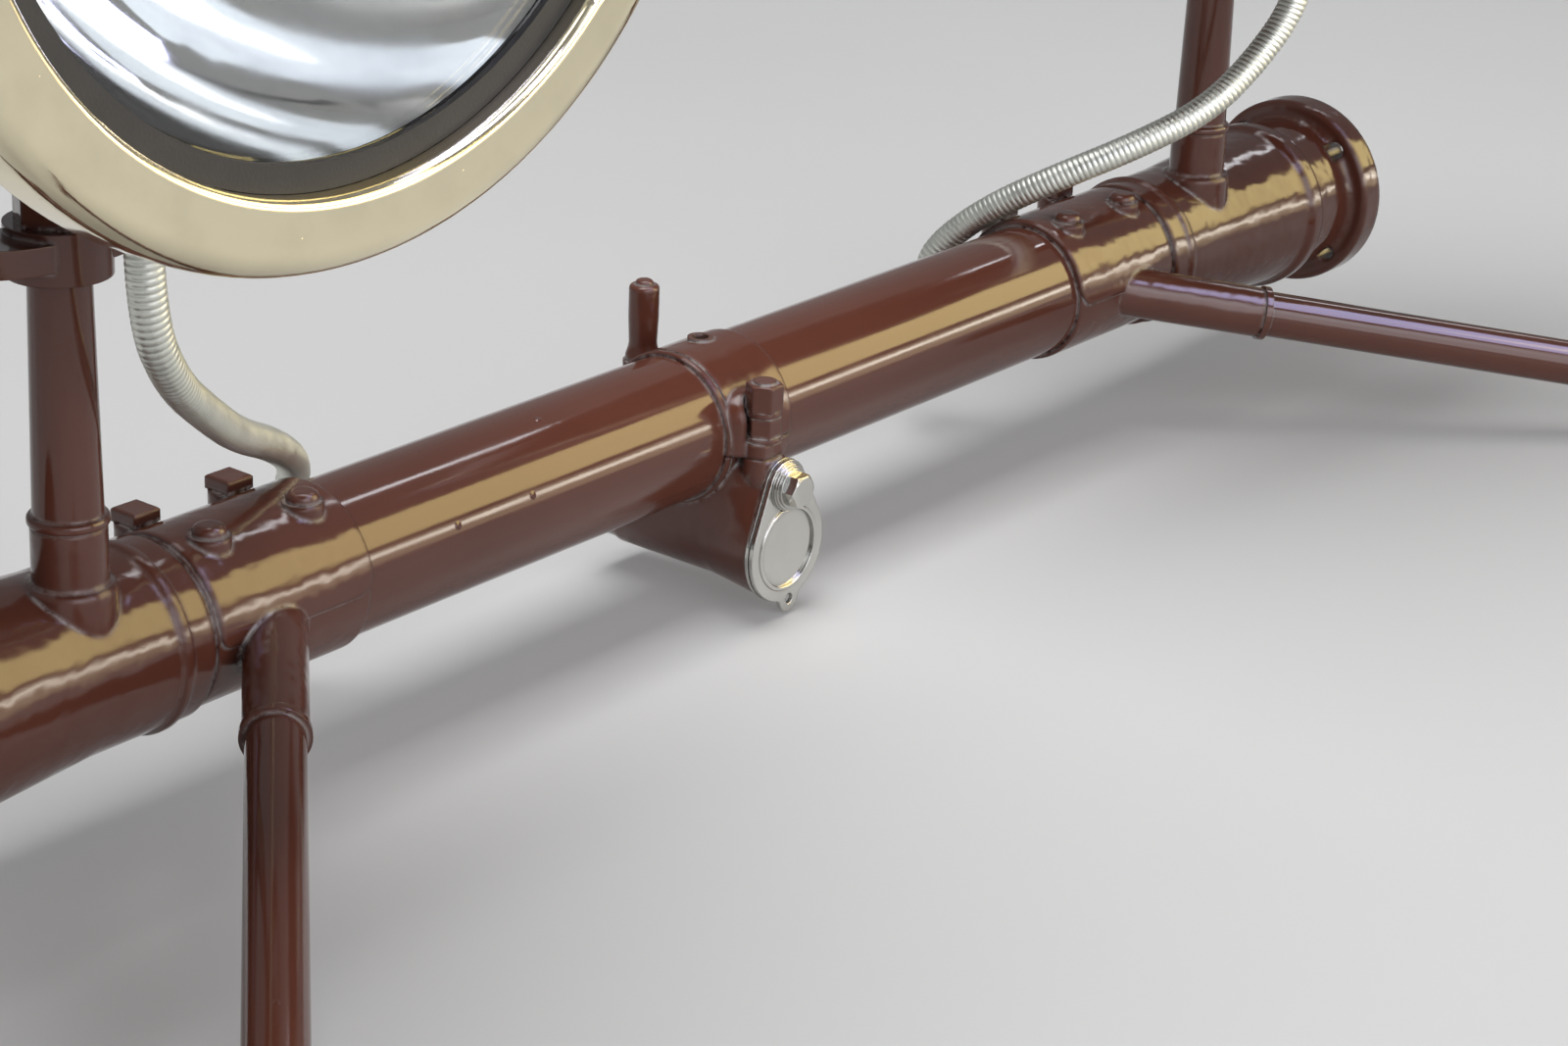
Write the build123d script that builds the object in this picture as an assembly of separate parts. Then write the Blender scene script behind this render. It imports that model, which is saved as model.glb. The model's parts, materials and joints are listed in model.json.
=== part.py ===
from build123d import *
import os
from math import cos, pi, radians, sin, sqrt, tan

# Front cross tube of a vintage car, with its starting handle bearing and two headlamps.
# Millimetres. +X runs along the tube to the car's near side, +Y to the car's rear, +Z up.
# The origin is the centre of the left flange's face, where the unit bolts to the frame.
# Inside this file X is measured from the middle of the unit, and export adds HALF_SPAN.

# Main tube
HALF_SPAN = 400.0
TUBE_R = 25.4
TUBE_WALL = 4.0
SEAT_GAP = 0.1
BOLT_GAP = 0.2
FAR = 400.0

# Starting handle bearing: a split collar round the tube, its seam just below mid height
COLLAR_LEFT = -21.0
COLLAR_RIGHT = 14.0
COLLAR_R = 27.0
COLLAR_EDGE_R = 0.9
COLLAR_GROOVE_X = 2.2
COLLAR_GROOVE_WIDTH = 1.0
COLLAR_GROOVE_DEPTH = 0.5
SEAM_Z = -4.0
SEAM_GAP = 0.3
CLAMP_Y = 32.5
FRONT_BOLT_X = -9.5
REAR_STUD_X = 3.1
LUG_R = 7.0
LUG_FOOT_R = 5.2
LUG_BOTTOM = -17.0
FRONT_LUG_TOP = 1.5
REAR_LUG_TOP = 11.0
CHEEK_R = 11.0
CHEEK_Y = 22.5
CHEEK_TOP = 17.0
CLAMP_SHANK_R = 4.0
CLAMP_DEPTH = 10.4
NUT_FLATS = 11.0
NUT_TOP_FLATS = 11.4
NUT_HEIGHT = 7.4
NUT_TOP_HEIGHT = 9.6
NUT_WASHER_R = 6.4
NUT_WASHER_THICKNESS = 1.6
NUT_RING_R = 6.0
NUT_RING_HEIGHT = 1.8
SHANK_TIP = 0.8
SPOT_FACE_R = 7.2
STUD_FOOT_R = 6.2
STUD_WAIST_R = 5.0
STUD_R = 5.4
STUD_TOP = 39.0
STUD_FOOT_HEIGHT = 2.0
STUD_WAIST_HEIGHT = 6.0
STUD_HEAD_LENGTH = 12.0
STUD_BUTTON_R = 3.2
STUD_BUTTON_HEIGHT = 1.6
OIL_HOLE_AT = (-1.2, 3.0)
OIL_HOLE_R = 2.9
OIL_BOSS_R = 4.6
OIL_BOSS_HEIGHT = 0.7

# Handle boss, its bush and the plate behind the cover
BOSS_X = (COLLAR_LEFT + COLLAR_RIGHT) / 2
BOSS_Z = -38.0
BOSS_FACE_Y = -37.5
BOSS_REAR_Y = 35.0
BOSS_FRONT_R = 19.2
BOSS_REAR_R = 15.5
BOSS_TAPER = 0.5
SKIN_Y = -14.0
SKIN_R = 16.4
SKIN_HEAD_R = 8.6
SKIN_HEAD_SPREAD = 0.4
WEB_REAR_Y = 27.0
WEB_CORNER_R = 2.0
WEB_INSET = 0.6
WEB_TOP_Z = -10.0
BUSH_R = 12.0
HANDLE_BORE_R = 10.2
PIVOT_X = BOSS_X - 1.4
PIVOT_Z = -15.0
BACK_PLATE_THICKNESS = 1.2
BACK_PLATE_MARGIN = 0.3
BACK_PLATE_BORE_GAP = 0.8
COVER_GAP = 0.3
COVER_THICKNESS = 1.6
COVER_R = 19.4
COVER_PIVOT_R = 9.4
COVER_RING_R = 15.5
COVER_RING_WIDTH = 1.4
COVER_RING_HEIGHT = 0.6
COVER_FIELD_DEPTH = 0.4
COVER_PAD_HEIGHT = 0.3
TAB_R = 4.8
TAB_BLEND_R = 3.4
TAB_X = BOSS_X + 2.0
TAB_Z = -57.6
TAB_HOLE_R = 1.9
PIVOT_R = 3.2
PIVOT_CLEARANCE = 0.08
PIVOT_WASHERS = (8.3, 7.8, 7.0)
PIVOT_WASHER_THICKNESS = 0.8
PIVOT_HEX_FLATS = 10.6
PIVOT_HEX_HEIGHT = 4.6
PIVOT_DEPTH = 16.0

# End fittings: a sleeve on the tube, a lamp post socket, a brace socket and a flange
SLEEVE_START = HALF_SPAN - 207.4
GROOVE_X = SLEEVE_START + 64.4
SLEEVE_R = 27.2
GROOVE_WIDTH = 2.0
GROOVE_DEPTH = 0.7
SLEEVE_CAP_R = 28.4
SLEEVE_CAP_CORNER_R = 7.0
SLEEVE_CAP_EDGE_R = 0.9
SLEEVE_CAP_LIP = 0.4
CASTING_R = 28.6
BEAD_X = GROOVE_X + 12.0
BEAD_R = 29.8
BEAD_WIDTH = 2.4
SWELL_X = HALF_SPAN - 42.0
SWELL_R = 34.5
SWELL_LAND = 3.0
SWELL_WIDTH = 6.0
SWELL_SHOULDER = 2.0
FLANGE_THICKNESS = 12.0
FLANGE_R = 39.0
FLANGE_NECK_R = 31.5
FLANGE_BOLT_CIRCLE = 62.0
FLANGE_BOLT_COUNT = 4
FLANGE_BOLT_R = 4.0
FLANGE_BOLT_DEPTH = 18.0
SLEEVE_BOLT_X = (SLEEVE_START + 12.4, SLEEVE_START + 50.4)
SLEEVE_BOLT_R = 3.0
SLEEVE_NUT_Y = -10.0
SLEEVE_NUT_SEAT = 28.0
SLEEVE_NUT_R = 5.2
SLEEVE_NUT_HEIGHT = 3.4
SLEEVE_SQUARE_Y = 22.0
SLEEVE_SQUARE_SEAT = 23.4
SLEEVE_SQUARE = 10.4
SLEEVE_SQUARE_HEIGHT = 4.4
SLEEVE_SQUARE_BEVEL = 0.6
SLEEVE_PAD_R = 6.6

# Lamp posts, each under the middle of its lamp
POST_X = HALF_SPAN - 103.7
POST_Y = -10.3
POST_R = 10.2
POST_BOTTOM = -14.0
POST_FOOT_R = 8.4
POST_TOP = 121.0
POST_TOP_R = 9.0
POST_SPIGOT_R = 6.5
POST_SOCKET_R = 11.0
POST_SOCKET_TOP = 47.4
POST_BASE_R = 13.4
POST_BASE_TOP = 29.5
POST_RING_R = 11.8
POST_RING_HEIGHT = 3.0
TUBE_HALF_LENGTH = POST_X - POST_R - 6.1

# Braces from the fittings out to the frame webs
BRACE_FROM = (SLEEVE_START + 46.4, -33.0, -5.0)
BRACE_DIRECTION = (0.68, -0.70, -0.155)
BRACE_R = 8.9
BRACE_SPIGOT_R = 7.4
BRACE_WALL = 2.4
BRACE_SOCKET_R = 9.8
BRACE_SOCKET_ROOT = -25.0
BRACE_SOCKET_LENGTH = 41.0
BRACE_SOCKET_DEPTH = 26.0
BRACE_RING_R = 10.6
BRACE_RING_WIDTH = 2.6
FOOT_THICKNESS = 8.0
FOOT_LENGTH = 84.0
FOOT_HEIGHT = 40.0
FOOT_BOLT_SPACING = 62.0
FOOT_BOLT_R = 4.2

# Headlamps
LAMP_X = POST_X
LAMP_DRUM_R = 134.0
LAMP_WALL = 1.8
LAMP_FRONT_Y = -116.0
LAMP_BOWL_Y = -56.0
RIM_R = LAMP_DRUM_R + 9.0
RIM_INNER_R = LAMP_DRUM_R - 12.4
RIM_FRONT_Y = LAMP_FRONT_Y - 12.0
RIM_REAR_Y = LAMP_FRONT_Y + 12.0
RIM_ROUND_R = 9.5
RIM_LIP = 3.0
GASKET_INNER_R = LAMP_DRUM_R - 20.0
GASKET_THICKNESS = 5.0
GLASS_CROWN = 11.0
GLASS_THICKNESS = 3.0
REFLECTOR_DEPTH = 96.0
REFLECTOR_SETBACK = 0.5
REFLECTOR_WALL = 1.2
BULB_R = 17.0
BULB_NECK_R = 8.0
BULB_SETBACK = 34.0
BULB_TAIL = 14.0
TRUNNION_BOSS_R = 13.0
TRUNNION_BOSS_ROOT = 18.0
TRUNNION_R = 6.0
TRUNNION_HEAD_FLATS = 18.6
TRUNNION_HEAD_HEIGHT = 8.0
TRUNNION_DEPTH = 22.0
TRUNNION_GAP = 0.8

# Lamp forks
FORK_R = LAMP_DRUM_R + 24.0
FORK_THICKNESS = 8.0
FORK_WIDTH = 22.0
FORK_SEAT = 4.0
FORK_EYE_R = 15.0
FORK_HUB_R = 15.0
FORK_HUB_HEIGHT = FORK_SEAT + FORK_THICKNESS + 3.0
FORK_NUT_FLATS = 22.0
FORK_NUT_HEIGHT = 9.0
LAMP_Z = POST_TOP + FORK_SEAT + FORK_THICKNESS + FORK_R

# Conduits: flexible metal tubes from each lamp to an elbow on the back of the cross tube
CONDUIT_R = 5.4
OUTLET_R = 9.0
OUTLET_ROOT = 12.0
OUTLET_OFFSET = -12.0
OUTLET_Y = LAMP_BOWL_Y - 2.0
OUTLET_BOTTOM_Z = LAMP_Z - LAMP_DRUM_R - OUTLET_ROOT
ELBOW_R = 8.2
ELBOW_STUB_R = 6.0
ELBOW_Y = 40.5
ELBOW_Z = -17.0
ELBOW_TOP = -7.0
ELBOW_BOTTOM = -26.0
SOCKET_DEPTH = 5.0


def x_cylinder(radius, start, end, y=0.0, z=0.0):
    return Pos((start + end) / 2, y, z) * Rot(0, 90, 0) * Cylinder(radius, end - start)


def y_cylinder(radius, start, end, x=0.0, z=0.0):
    return Pos(x, (start + end) / 2, z) * Rot(90, 0, 0) * Cylinder(radius, end - start)


def z_cylinder(radius, start, end, x=0.0, y=0.0):
    return Pos(x, y, (start + end) / 2) * Cylinder(radius, end - start)


def span_box(x, y, z):
    size = (x[1] - x[0], y[1] - y[0], z[1] - z[0])
    return Pos(sum(x) / 2, sum(y) / 2, sum(z) / 2) * Box(*size)


def bevelled_hex(flats, height, turn=0.0):
    """A hexagon standing on the X-Y plane, its top corners turned off."""
    corner_r = flats / sqrt(3)
    bevel = corner_r - flats / 2
    blank = z_cylinder(corner_r, 0, height)
    blank = chamfer(blank.edges().group_by(Axis.Z)[-1], bevel * 0.8, bevel * 1.6)
    return blank & extrude(RegularPolygon(corner_r, 6, rotation=turn), height)


def domed(radius, start, end, x, y):
    """A round button from start to end with its upper edge rounded over."""
    button = z_cylinder(radius, start, end, x, y)
    return fillet(button.edges().group_by(Axis.Z)[-1], 0.7 * (end - start))


def front_sketch(outline, y_front, depth):
    """Extrudes an X-Z outline rearward from y_front."""
    return Plane((0, y_front, 0), x_dir=(1, 0, 0), z_dir=(0, -1, 0)) * extrude(outline, -depth)


def hull(*circles):
    """An X-Z outline round circles given as (x, z, radius)."""
    edges = [edge for x, z, radius in circles for edge in (Pos(x, z) * Circle(radius)).edges()]
    return make_hull(edges)


def teardrop(main_r, head_r):
    """The outline shared by the boss's face, the back plate and the cover."""
    return hull((BOSS_X, BOSS_Z, main_r), (PIVOT_X, PIVOT_Z, head_r))


def turned_x(corners):
    """Revolves an outline about the X axis. Corners are (x, radius, rounding)."""
    points = [(x, radius) for x, radius, rounding in corners]
    roundings = [rounding for x, radius, rounding in corners]
    return revolve(make_face(FilletPolyline(*points, radius=roundings, close=True)), Axis.X)


def turned_z(corners):
    """Revolves an outline about the Z axis. Corners are (radius, z, rounding)."""
    points = [(radius, 0, z) for radius, z, rounding in corners]
    roundings = [rounding for radius, z, rounding in corners]
    return revolve(make_face(FilletPolyline(*points, radius=roundings, close=True)), Axis.Z)


def cross_tube():
    tube = x_cylinder(TUBE_R, -TUBE_HALF_LENGTH, TUBE_HALF_LENGTH)
    tube -= x_cylinder(TUBE_R - TUBE_WALL, -TUBE_HALF_LENGTH, TUBE_HALF_LENGTH)
    for elbow_x in (ELBOW_LEFT_X, ELBOW_RIGHT_X):
        tube -= y_cylinder(ELBOW_STUB_R + SEAT_GAP, 0, ELBOW_Y, elbow_x, ELBOW_Z)
    return tube


def collar_ring():
    groove_start = COLLAR_LEFT + COLLAR_GROOVE_X
    groove_end = groove_start + COLLAR_GROOVE_WIDTH
    groove_r = COLLAR_R - COLLAR_GROOVE_DEPTH
    return turned_x((
        (COLLAR_LEFT, 0, 0),
        (COLLAR_LEFT, COLLAR_R, COLLAR_EDGE_R),
        (groove_start, COLLAR_R, 0),
        (groove_start, groove_r, 0),
        (groove_end, groove_r, 0),
        (groove_end, COLLAR_R, 0),
        (COLLAR_RIGHT, COLLAR_R, COLLAR_EDGE_R),
        (COLLAR_RIGHT, 0, 0),
    ))


def upper_half(part):
    return part & span_box((-FAR, FAR), (-FAR, FAR), (SEAM_Z + SEAM_GAP, FAR))


def lower_half(part):
    return part & span_box((-FAR, FAR), (-FAR, FAR), (-FAR, SEAM_Z))


def tube_bore():
    return x_cylinder(TUBE_R + SEAT_GAP, -FAR, FAR)


def bearing_cap():
    front = (FRONT_BOLT_X, -CLAMP_Y)
    rear = (REAR_STUD_X, CLAMP_Y)
    cap = collar_ring()
    cheek = z_cylinder(CHEEK_R, SEAM_Z, CHEEK_TOP, FRONT_BOLT_X, -CHEEK_Y)
    cap += fillet(cheek.edges().group_by(Axis.Z)[-1], 0.9 * CHEEK_R)
    cap += z_cylinder(LUG_R, SEAM_Z, FRONT_LUG_TOP, *front)
    cap += z_cylinder(LUG_R, SEAM_Z, REAR_LUG_TOP, *rear)
    cap += z_cylinder(OIL_BOSS_R, 0, COLLAR_R + OIL_BOSS_HEIGHT, *OIL_HOLE_AT)
    cap -= z_cylinder(SPOT_FACE_R, FRONT_LUG_TOP, STUD_TOP, *front)
    cap -= z_cylinder(STUD_FOOT_R + BOLT_GAP, REAR_LUG_TOP, STUD_TOP, *rear)
    cap -= z_cylinder(CLAMP_SHANK_R + BOLT_GAP, -STUD_TOP, STUD_TOP, *front)
    cap -= z_cylinder(CLAMP_SHANK_R + BOLT_GAP, -STUD_TOP, STUD_TOP, *rear)
    cap -= z_cylinder(OIL_HOLE_R, 0, STUD_TOP, *OIL_HOLE_AT)
    cap -= span_box((-FAR, FAR), (-FAR, BOSS_FACE_Y), (-FAR, FAR))
    return upper_half(cap) - tube_bore()


def lug(x, y):
    """A clamp lug below the seam, tapering into the bracket's skin."""
    foot = Cone(LUG_FOOT_R, LUG_R, (SEAM_Z - LUG_BOTTOM) / 2)
    straight_from = (SEAM_Z + LUG_BOTTOM) / 2
    tapered = Pos(x, y, (LUG_BOTTOM + straight_from) / 2) * foot
    return tapered + z_cylinder(LUG_R, straight_from, SEAM_Z, x, y)


def front_plane(y):
    return Plane((0, y, 0), x_dir=(1, 0, 0), z_dir=(0, -1, 0))


def bearing_bracket():
    face_outline = hull(
        (BOSS_X, BOSS_Z, BOSS_FRONT_R), (PIVOT_X - SKIN_HEAD_SPREAD, PIVOT_Z, SKIN_HEAD_R),
        (PIVOT_X + SKIN_HEAD_SPREAD, PIVOT_Z, SKIN_HEAD_R))
    corner_inset = WEB_CORNER_R + WEB_INSET
    web_outline = hull(
        (BOSS_X, BOSS_Z, SKIN_R), (COLLAR_LEFT + corner_inset, WEB_TOP_Z, WEB_CORNER_R),
        (COLLAR_RIGHT - corner_inset, WEB_TOP_Z, WEB_CORNER_R))
    bracket = loft([front_plane(BOSS_FACE_Y) * face_outline, front_plane(SKIN_Y) * web_outline], ruled=True)
    bracket += front_sketch(web_outline, SKIN_Y, WEB_REAR_Y - SKIN_Y)
    boss = Rot(90, 0, 0) * Cone(BOSS_REAR_R, BOSS_REAR_R + BOSS_TAPER, BOSS_REAR_Y - SKIN_Y)
    bracket += Pos(BOSS_X, (BOSS_REAR_Y + SKIN_Y) / 2, BOSS_Z) * boss
    bracket += collar_ring()
    bracket += lug(FRONT_BOLT_X, -CLAMP_Y)
    bracket += lug(REAR_STUD_X, CLAMP_Y)
    bracket = lower_half(bracket) - tube_bore()
    bracket -= span_box((-FAR, FAR), (-FAR, BOSS_FACE_Y), (-FAR, FAR))
    for x, y in ((FRONT_BOLT_X, -CLAMP_Y), (REAR_STUD_X, CLAMP_Y)):
        bracket -= z_cylinder(CLAMP_SHANK_R + BOLT_GAP, -CLAMP_DEPTH, SEAM_Z, x, y)
    bracket -= y_cylinder(BUSH_R + SEAT_GAP, BOSS_FACE_Y, BOSS_REAR_Y, BOSS_X, BOSS_Z)
    bracket -= y_cylinder(PIVOT_R + SEAT_GAP, BOSS_FACE_Y, BOSS_FACE_Y + PIVOT_DEPTH, PIVOT_X, PIVOT_Z)
    return bracket


def clamp_nut():
    lower_start = FRONT_LUG_TOP + NUT_WASHER_THICKNESS
    ring_start = lower_start + NUT_HEIGHT
    upper_start = ring_start + NUT_RING_HEIGHT
    shank_top = upper_start + NUT_TOP_HEIGHT + SHANK_TIP
    nut = z_cylinder(CLAMP_SHANK_R, 1 - CLAMP_DEPTH, shank_top)
    nut += z_cylinder(NUT_WASHER_R, FRONT_LUG_TOP, lower_start)
    nut += Pos(0, 0, lower_start) * bevelled_hex(NUT_FLATS, NUT_HEIGHT)
    nut += z_cylinder(NUT_RING_R, ring_start, upper_start)
    nut += Pos(0, 0, upper_start) * bevelled_hex(NUT_TOP_FLATS, NUT_TOP_HEIGHT)
    return Pos(FRONT_BOLT_X, -CLAMP_Y, 0) * nut


def rear_stud():
    foot = REAR_LUG_TOP
    stud = turned_z((
        (0, 1 - CLAMP_DEPTH, 0),
        (CLAMP_SHANK_R, 1 - CLAMP_DEPTH, 0),
        (CLAMP_SHANK_R, foot, 0),
        (STUD_FOOT_R, foot, 0),
        (STUD_FOOT_R, foot + STUD_FOOT_HEIGHT, 1.5),
        (STUD_WAIST_R, foot + STUD_WAIST_HEIGHT, 8),
        (STUD_R, STUD_TOP - STUD_HEAD_LENGTH, 20),
        (STUD_R, STUD_TOP, 1.6),
        (STUD_BUTTON_R, STUD_TOP, 0),
        (STUD_BUTTON_R, STUD_TOP + STUD_BUTTON_HEIGHT, 1.2),
        (0, STUD_TOP + STUD_BUTTON_HEIGHT, 0),
    ))
    return Pos(REAR_STUD_X, CLAMP_Y, 0) * stud


def handle_bush():
    bush = y_cylinder(BUSH_R, BOSS_FACE_Y, BOSS_REAR_Y, BOSS_X, BOSS_Z)
    return bush - y_cylinder(HANDLE_BORE_R, BOSS_FACE_Y, BOSS_REAR_Y, BOSS_X, BOSS_Z)


def back_plate():
    outline = teardrop(COVER_R + BACK_PLATE_MARGIN, COVER_PIVOT_R + BACK_PLATE_MARGIN)
    front = BOSS_FACE_Y - BACK_PLATE_THICKNESS
    plate = front_sketch(outline, front, BACK_PLATE_THICKNESS)
    plate -= y_cylinder(HANDLE_BORE_R + BACK_PLATE_BORE_GAP, front, BOSS_FACE_Y, BOSS_X, BOSS_Z)
    plate -= y_cylinder(PIVOT_R + SEAT_GAP, front, BOSS_FACE_Y, PIVOT_X, PIVOT_Z)
    return plate


def cover_face_y():
    return BOSS_FACE_Y - BACK_PLATE_THICKNESS - COVER_GAP - COVER_THICKNESS


def on_circle(corner, x, z, radius):
    return abs(sqrt((corner.X - x) ** 2 + (corner.Y - z) ** 2) - radius) < 0.01


def handle_cover():
    face = cover_face_y()
    rear = face + COVER_THICKNESS
    outline = teardrop(COVER_R, COVER_PIVOT_R) + Pos(TAB_X, TAB_Z) * Rot(0, 0, -90) * Circle(TAB_R)
    corners = [corner for corner in outline.vertices() if on_circle(corner, BOSS_X, BOSS_Z, COVER_R)
               and on_circle(corner, TAB_X, TAB_Z, TAB_R)]
    cover = front_sketch(fillet(corners, TAB_BLEND_R), face, COVER_THICKNESS)
    cover += y_cylinder(PIVOT_WASHERS[0], face - COVER_PAD_HEIGHT, face, PIVOT_X, PIVOT_Z)
    ring = y_cylinder(COVER_RING_R, face - COVER_RING_HEIGHT, face + COVER_THICKNESS / 2, BOSS_X, BOSS_Z)
    cover += fillet(ring.edges().group_by(Axis.Y)[0], COVER_RING_HEIGHT * 0.9)
    field_r = COVER_RING_R - COVER_RING_WIDTH
    cover -= y_cylinder(field_r, face - FAR, face + COVER_FIELD_DEPTH, BOSS_X, BOSS_Z)
    cover -= y_cylinder(PIVOT_WASHERS[0] + COVER_GAP, face - FAR, face - COVER_PAD_HEIGHT, PIVOT_X, PIVOT_Z)
    cover -= y_cylinder(TAB_HOLE_R, face - COVER_GAP, rear, TAB_X, TAB_Z)
    cover -= y_cylinder(PIVOT_R + PIVOT_CLEARANCE, face - COVER_RING_HEIGHT, rear, PIVOT_X, PIVOT_Z)
    return cover


def pivot_bolt():
    """The cover's bolt: a stack of thin washers under a hexagon head."""
    front = cover_face_y() - COVER_PAD_HEIGHT - PIVOT_CLEARANCE
    washers = []
    for radius in PIVOT_WASHERS:
        washers.append(y_cylinder(radius, front - PIVOT_WASHER_THICKNESS, front, PIVOT_X, PIVOT_Z))
        front -= PIVOT_WASHER_THICKNESS
    head = bevelled_hex(PIVOT_HEX_FLATS, PIVOT_HEX_HEIGHT)
    head_plane = Plane((PIVOT_X, front, PIVOT_Z), x_dir=(1, 0, 0), z_dir=(0, -1, 0))
    bolt = y_cylinder(PIVOT_R, front - PIVOT_HEX_HEIGHT / 2, BOSS_FACE_Y + PIVOT_DEPTH - 1, PIVOT_X, PIVOT_Z)
    return bolt + washers + head_plane * head


def brace_plane(distance):
    """A plane square to the right brace, at a distance along it from BRACE_FROM."""
    direction = Vector(*BRACE_DIRECTION).normalized()
    return Plane(Vector(*BRACE_FROM) + direction * distance, z_dir=direction)


def along_brace(radius, start, end):
    return brace_plane((start + end) / 2) * Cylinder(radius, end - start)


def brace_length():
    direction = Vector(*BRACE_DIRECTION).normalized()
    return (HALF_SPAN - BRACE_FROM[0]) / direction.X


def casting():
    groove_r = SLEEVE_R - GROOVE_DEPTH
    return turned_x((
        (SLEEVE_START, 0, 0),
        (SLEEVE_START, SLEEVE_R, 1),
        (GROOVE_X - GROOVE_WIDTH / 2, SLEEVE_R, 0.5),
        (GROOVE_X - GROOVE_WIDTH / 2, groove_r, 0),
        (GROOVE_X + GROOVE_WIDTH / 2, groove_r, 0),
        (GROOVE_X + GROOVE_WIDTH / 2, CASTING_R, 1),
        (BEAD_X - BEAD_WIDTH, CASTING_R, 1),
        (BEAD_X - BEAD_WIDTH / 2, BEAD_R, 1),
        (BEAD_X + BEAD_WIDTH / 2, BEAD_R, 1),
        (BEAD_X + BEAD_WIDTH, CASTING_R, 1),
        (POST_X, CASTING_R, 40),
        (SWELL_X - SWELL_WIDTH, SWELL_R - SWELL_SHOULDER, 3),
        (SWELL_X - SWELL_LAND, SWELL_R, 2),
        (SWELL_X + SWELL_LAND, SWELL_R, 2),
        (SWELL_X + SWELL_WIDTH, FLANGE_NECK_R, 2),
        (HALF_SPAN - FLANGE_THICKNESS, FLANGE_NECK_R, 3),
        (HALF_SPAN - FLANGE_THICKNESS, FLANGE_R, 2),
        (HALF_SPAN, FLANGE_R, 0),
        (HALF_SPAN, 0, 0),
    ))


def sleeve_cap():
    """The thicker upper half of the sleeve, its inner corners rounded in side view."""
    start = SLEEVE_START - SLEEVE_CAP_LIP
    end = GROOVE_X - GROOVE_WIDTH
    cap = x_cylinder(SLEEVE_CAP_R, start, end)
    cap = fillet(cap.edges().filter_by(GeomType.CIRCLE), SLEEVE_CAP_EDGE_R)
    side = FilletPolyline(
        (start, FAR), (start, 0), (end, 0), (end, FAR),
        radius=[0, SLEEVE_CAP_CORNER_R, SLEEVE_CAP_CORNER_R / 2, 0], close=True)
    return cap & front_sketch(make_face(side), -FAR, 2 * FAR)


def post_socket():
    return Pos(POST_X, POST_Y, 0) * turned_z((
        (0, 0, 0),
        (POST_BASE_R, 0, 0),
        (POST_BASE_R, POST_BASE_TOP, 1.4),
        (POST_SOCKET_R, POST_BASE_TOP, 1),
        (POST_SOCKET_R, POST_SOCKET_TOP, 0),
        (0, POST_SOCKET_TOP, 0),
    ))


def end_fitting():
    fitting = casting() + sleeve_cap() + post_socket()
    fitting += along_brace(BRACE_SOCKET_R, BRACE_SOCKET_ROOT, BRACE_SOCKET_LENGTH)
    for x in SLEEVE_BOLT_X:
        fitting += z_cylinder(SLEEVE_PAD_R, 0, SLEEVE_NUT_SEAT, x, SLEEVE_NUT_Y)
        fitting += z_cylinder(SLEEVE_PAD_R, 0, SLEEVE_SQUARE_SEAT, x, SLEEVE_SQUARE_Y)
        fitting -= z_cylinder(SLEEVE_BOLT_R + BOLT_GAP, 0, SLEEVE_NUT_SEAT, x, SLEEVE_NUT_Y)
        fitting -= z_cylinder(SLEEVE_BOLT_R + BOLT_GAP, 0, SLEEVE_SQUARE_SEAT, x, SLEEVE_SQUARE_Y)
        fitting -= z_cylinder(SLEEVE_PAD_R, SLEEVE_NUT_SEAT, FAR, x, SLEEVE_NUT_Y)
    fitting -= x_cylinder(TUBE_R + SEAT_GAP, 0, TUBE_HALF_LENGTH + 1)
    fitting -= z_cylinder(POST_FOOT_R + SEAT_GAP, POST_BOTTOM - 1, POST_SOCKET_TOP, POST_X, POST_Y)
    socket_floor = BRACE_SOCKET_LENGTH - BRACE_SOCKET_DEPTH
    fitting -= along_brace(BRACE_SPIGOT_R + SEAT_GAP, socket_floor, BRACE_SOCKET_LENGTH)
    for index in range(FLANGE_BOLT_COUNT):
        angle = radians(45 + 360 * index / FLANGE_BOLT_COUNT)
        y = FLANGE_BOLT_CIRCLE / 2 * cos(angle)
        z = FLANGE_BOLT_CIRCLE / 2 * sin(angle)
        fitting -= x_cylinder(FLANGE_BOLT_R, HALF_SPAN - FLANGE_BOLT_DEPTH, HALF_SPAN, y, z)
    return fitting


def above_tube(y):
    """The height just clear of the tube for a sleeve bolt at y."""
    nearest = abs(y) - SLEEVE_BOLT_R
    return sqrt((TUBE_R + SEAT_GAP) ** 2 - nearest ** 2)


def sleeve_bolts():
    """Each sleeve's round nuts in front and square heads behind."""
    bolts = []
    half = SLEEVE_SQUARE / 2
    square_top = SLEEVE_SQUARE_SEAT + SLEEVE_SQUARE_HEIGHT
    for x in SLEEVE_BOLT_X:
        nut = domed(SLEEVE_NUT_R, SLEEVE_NUT_SEAT, SLEEVE_NUT_SEAT + SLEEVE_NUT_HEIGHT, x, SLEEVE_NUT_Y)
        nut += z_cylinder(SLEEVE_BOLT_R, above_tube(SLEEVE_NUT_Y), SLEEVE_NUT_SEAT, x, SLEEVE_NUT_Y)
        bolts.append(nut)
        y_span = (SLEEVE_SQUARE_Y - half, SLEEVE_SQUARE_Y + half)
        square = span_box((x - half, x + half), y_span, (SLEEVE_SQUARE_SEAT, square_top))
        square = chamfer(square.edges().group_by(Axis.Z)[-1], SLEEVE_SQUARE_BEVEL)
        shank_foot = above_tube(SLEEVE_SQUARE_Y)
        square += z_cylinder(SLEEVE_BOLT_R, shank_foot, SLEEVE_SQUARE_SEAT, x, SLEEVE_SQUARE_Y)
        bolts.append(square)
    return Compound(children=bolts)


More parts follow.
